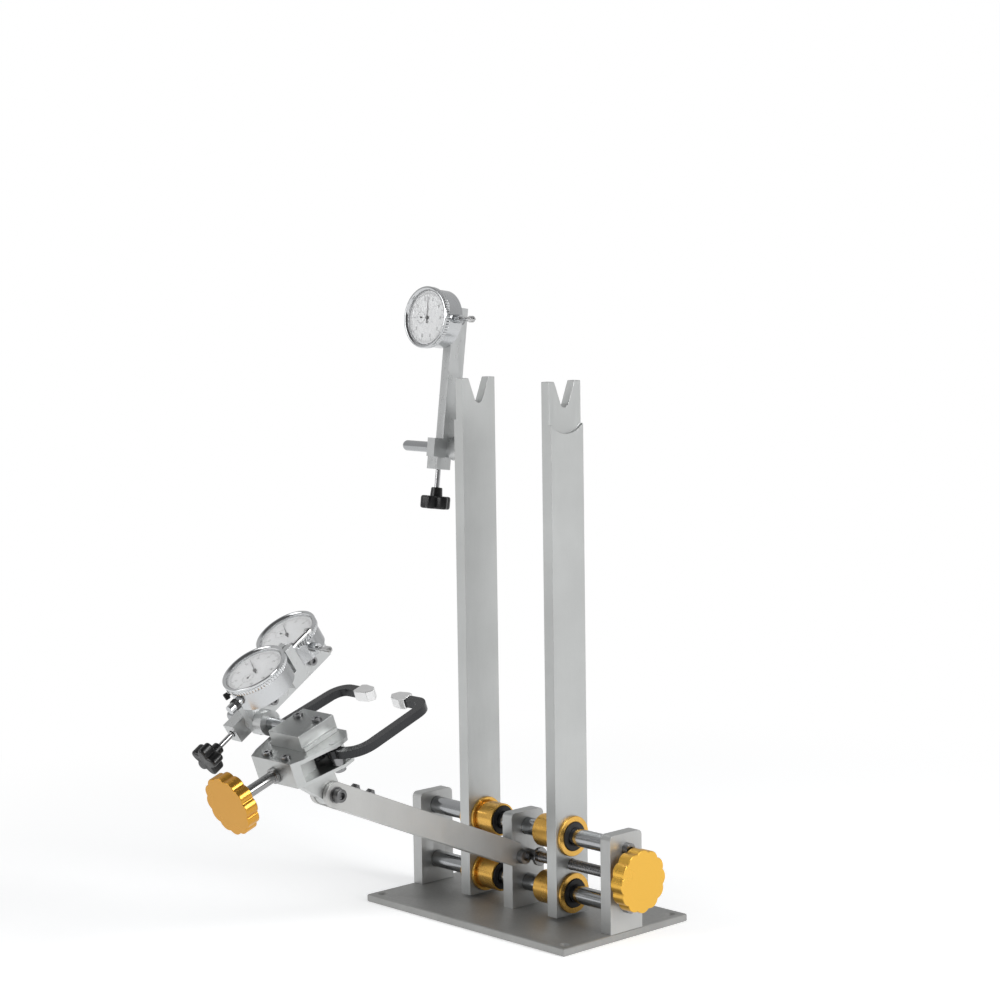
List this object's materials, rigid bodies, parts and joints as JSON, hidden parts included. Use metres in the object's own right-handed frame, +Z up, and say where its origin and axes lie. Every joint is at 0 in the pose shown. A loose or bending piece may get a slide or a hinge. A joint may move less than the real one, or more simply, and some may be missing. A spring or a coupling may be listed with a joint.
{
  "type": "bicycle wheel truing stand",
  "caption": "Bench stand that holds a bicycle wheel by its axle, with screw-driven caliper fingers and dial gauges for truing the rim.",
  "frame": {"origin": "centre of the base plate's underside", "axes": "+X along the guide rods towards the spreading knob, +Y away from the caliper arm, +Z up"},
  "size_m": [0.3057, 0.4218, 0.5714],
  "materials": {
    "anodised_plate": "satin",
    "anodised_bracket": "satin",
    "anodised_upright": "satin",
    "rod_steel": "polished",
    "screw_steel": "satin",
    "lead_steel": "satin",
    "gold": "satin",
    "seal": "matte",
    "arm_steel": "satin",
    "head_alloy": "satin",
    "finger_steel": "satin",
    "tip_steel": "polished",
    "rail_alloy": "satin",
    "black_plastic": "satin",
    "gauge_case": "satin",
    "gauge_bezel": "polished",
    "dial": "matte",
    "needle": "matte",
    "probe": "polished"
  },
  "bodies": {
    "base": {"base_plate": "anodised_plate", "bracket_left": "anodised_bracket", "bracket_middle": "anodised_bracket", "bracket_right": "anodised_bracket", "guide_rods": "rod_steel", "rod_end_screws": "screw_steel", "bracket_screws": "screw_steel", "arm_pivot_bolt": "screw_steel"},
    "spread_screw": {"lead_screw": "lead_steel", "spread_knob": "gold"},
    "left_upright": {"upright_left": "anodised_upright", "bushings_left": "gold", "bearings_left": "seal", "side_post": "rod_steel"},
    "right_upright": {"upright_right": "anodised_upright", "bushings_right": "gold", "bearings_right": "seal"},
    "arm": {"arm_bar_near": "arm_steel", "arm_bar_far": "arm_steel", "arm_spacer": "arm_steel", "arm_spacer_screws": "screw_steel", "head_pivot_bolt": "screw_steel"},
    "head": {"head_body": "head_alloy", "head_top_block": "head_alloy", "fork_near": "head_alloy", "fork_far": "head_alloy", "head_screws": "screw_steel", "finger_pivots": "screw_steel", "gauge_post": "rod_steel"},
    "caliper_drive": {"caliper_knob": "gold", "caliper_screw": "screw_steel"},
    "traveller": {"caliper_traveller": "lead_steel"},
    "near_finger": {"finger_near": "finger_steel", "finger_near_tip": "tip_steel"},
    "far_finger": {"finger_far": "finger_steel", "finger_far_tip": "tip_steel"},
    "rim_carrier": {"rim_clamp": "rail_alloy"},
    "rim_thumb": {"rim_thumb_screw": "black_plastic"},
    "rim_arm": {"rim_rail": "rail_alloy", "radial_bracket": "rail_alloy", "rim_rail_screws": "screw_steel", "radial_case": "gauge_case", "lateral_case": "gauge_case"},
    "side_carrier": {"side_clamp": "rail_alloy"},
    "side_thumb": {"side_thumb_screw": "black_plastic"},
    "side_arm": {"side_rail": "rail_alloy", "side_rail_screw": "screw_steel", "side_case": "gauge_case"},
    "radial_face": {"radial_bezel": "gauge_bezel", "radial_dial": "dial"},
    "radial_needle": {"radial_pointer": "needle"},
    "radial_probe": {"radial_plunger": "probe"},
    "lateral_face": {"lateral_bezel": "gauge_bezel", "lateral_dial": "dial"},
    "lateral_needle": {"lateral_pointer": "needle"},
    "lateral_probe": {"lateral_plunger": "probe"},
    "side_face": {"side_bezel": "gauge_bezel", "side_dial": "dial"},
    "side_needle": {"side_pointer": "needle"},
    "side_probe": {"side_plunger": "probe"}
  },
  "joints": [
    {"name": "spread_turn", "type": "hinge", "parent": "base", "child": "spread_screw", "pos_m": [0, 0, 0.055], "axis": [1, 0, 0], "range_deg": [-900, 4050]},
    {"name": "left_spread", "type": "slide", "parent": "base", "child": "left_upright", "axis": [-1, 0, 0], "range_m": [-0.01, 0.045]},
    {"name": "right_spread", "type": "slide", "parent": "base", "child": "right_upright", "axis": [1, 0, 0], "range_m": [-0.01, 0.045]},
    {"name": "arm_swing", "type": "hinge", "parent": "base", "child": "arm", "pos_m": [0, -0.0132, 0.056], "axis": [-1, 0, 0], "range_deg": [-15, 30]},
    {"name": "head_tilt", "type": "hinge", "parent": "arm", "child": "head", "pos_m": [0, -0.22828, 0.14818], "axis": [1, 0, 0], "range_deg": [-25, 25]},
    {"name": "caliper_turn", "type": "hinge", "parent": "head", "child": "caliper_drive", "pos_m": [0, -0.24264, 0.18765], "axis": [0, 0.9397, 0.342], "range_deg": [-360, 720]},
    {"name": "traveller_slide", "type": "slide", "parent": "head", "child": "traveller", "axis": [0, 0.9397, 0.342], "range_m": [-0.0015, 0.003]},
    {"name": "near_finger_swing", "type": "hinge", "parent": "head", "child": "near_finger", "pos_m": [0.035, -0.24811, 0.19098], "axis": [0, -0.342, 0.9397], "range_deg": [-12, 6]},
    {"name": "far_finger_swing", "type": "hinge", "parent": "head", "child": "far_finger", "pos_m": [-0.035, -0.24811, 0.19098], "axis": [0, -0.342, 0.9397], "range_deg": [-6, 12]},
    {"name": "rim_carrier_slide", "type": "slide", "parent": "head", "child": "rim_carrier", "axis": [1, 0, 0], "range_m": [-0.014, 0.002]},
    {"name": "rim_thumb_turn", "type": "hinge", "parent": "rim_carrier", "child": "rim_thumb", "pos_m": [-0.07585, -0.25358, 0.20602], "axis": [0, 0.8339, 0.5519], "range_deg": [-720, 90]},
    {"name": "rim_arm_turn", "type": "hinge", "parent": "rim_carrier", "child": "rim_arm", "pos_m": [0, -0.25358, 0.20602], "axis": [1, 0, 0], "range_deg": [-15, 25]},
    {"name": "side_carrier_slide", "type": "slide", "parent": "left_upright", "child": "side_carrier", "axis": [1, 0, 0], "range_m": [-0.03, 0.008]},
    {"name": "side_thumb_turn", "type": "hinge", "parent": "side_carrier", "child": "side_thumb", "pos_m": [-0.10485, 0, 0.421], "axis": [0, 0.1305, 0.9914], "range_deg": [-720, 90]},
    {"name": "side_arm_turn", "type": "hinge", "parent": "side_carrier", "child": "side_arm", "pos_m": [0, 0, 0.421], "axis": [1, 0, 0], "range_deg": [-60, 60]},
    {"name": "radial_needle_turn", "type": "hinge", "parent": "rim_arm", "child": "radial_needle", "pos_m": [0, -0.30456, 0.26581], "axis": [0, -0.5519, 0.8339], "range_deg": [-2880, 0]},
    {"name": "radial_probe_slide", "type": "slide", "parent": "rim_arm", "child": "radial_probe", "axis": [0, -0.8339, -0.5519], "range_m": [0, 0.008], "stiffness_N_per_m": 20, "springref_m": -0.005},
    {"name": "radial_face_turn", "type": "hinge", "parent": "rim_arm", "child": "radial_face", "pos_m": [0, -0.30456, 0.26581], "axis": [0, -0.5519, 0.8339], "range_deg": [-180, 180]},
    {"name": "lateral_needle_turn", "type": "hinge", "parent": "rim_arm", "child": "lateral_needle", "pos_m": [-0.068, -0.2166, 0.27786], "axis": [0, -0.5519, 0.8339], "range_deg": [-2880, 0]},
    {"name": "lateral_probe_slide", "type": "slide", "parent": "rim_arm", "child": "lateral_probe", "axis": [-1, 0, 0], "range_m": [0, 0.008], "stiffness_N_per_m": 20, "springref_m": -0.005},
    {"name": "lateral_face_turn", "type": "hinge", "parent": "rim_arm", "child": "lateral_face", "pos_m": [-0.068, -0.2166, 0.27786], "axis": [0, -0.5519, 0.8339], "range_deg": [-180, 180]},
    {"name": "side_needle_turn", "type": "hinge", "parent": "side_arm", "child": "side_needle", "pos_m": [-0.097, -0.02376, 0.54315], "axis": [0, -0.9914, 0.1305], "range_deg": [-2880, 0]},
    {"name": "side_probe_slide", "type": "slide", "parent": "side_arm", "child": "side_probe", "axis": [-1, 0, 0], "range_m": [0, 0.008], "stiffness_N_per_m": 20, "springref_m": -0.005},
    {"name": "side_face_turn", "type": "hinge", "parent": "side_arm", "child": "side_face", "pos_m": [-0.097, -0.02376, 0.54315], "axis": [0, -0.9914, 0.1305], "range_deg": [-180, 180]}
  ],
  "couplings": [
    {"joint": "spread_turn", "follows": "left_spread", "rad_per_m": 1570.8},
    {"joint": "right_spread", "follows": "left_spread", "ratio": 1},
    {"joint": "caliper_turn", "follows": "traveller_slide", "rad_per_m": 4188.8},
    {"joint": "near_finger_swing", "follows": "traveller_slide", "rad_per_m": -69.811},
    {"joint": "far_finger_swing", "follows": "traveller_slide", "rad_per_m": 69.811},
    {"joint": "radial_needle_turn", "follows": "radial_probe_slide", "rad_per_m": -6283.2},
    {"joint": "lateral_needle_turn", "follows": "lateral_probe_slide", "rad_per_m": -6283.2},
    {"joint": "side_needle_turn", "follows": "side_probe_slide", "rad_per_m": -6283.2}
  ]
}
